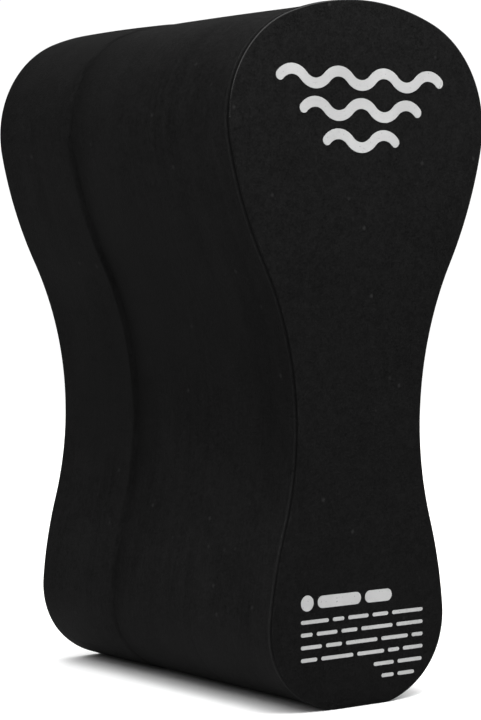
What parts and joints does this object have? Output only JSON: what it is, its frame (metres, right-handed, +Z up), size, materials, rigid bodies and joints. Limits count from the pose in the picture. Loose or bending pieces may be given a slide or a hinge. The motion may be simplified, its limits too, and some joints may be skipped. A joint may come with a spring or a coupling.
{
  "type": "pull buoy",
  "caption": "Solid foam swimming float with an uneven figure-eight outline, gripped at its narrow waist between the thighs, laminated from glued foam slabs.",
  "frame": {"origin": "middle of the bounding box's underside, on the narrow flat foot that the float stands on", "axes": "+Z up from the small lobe to the large lobe; +X across the width, through the two thigh recesses; +Y along the depth, out of the plain rear face, so the printed front face looks along -Y"},
  "size_m": [0.1108, 0.1441, 0.24],
  "materials": {
    "foam": "matte black closed-cell foam, fine speckled grain on the flat faces, faint cutting marks round the sides",
    "adhesive": "dark contact adhesive",
    "ink": "light grey screen-printed ink, matte"
  },
  "bodies": {
    "root": {"front_layer": "foam", "middle_layer": "foam", "rear_layer": "foam", "front_glue_film": "adhesive", "rear_glue_film": "adhesive", "wave_print": "ink", "bar_print": "ink"}
  },
  "joints": []
}
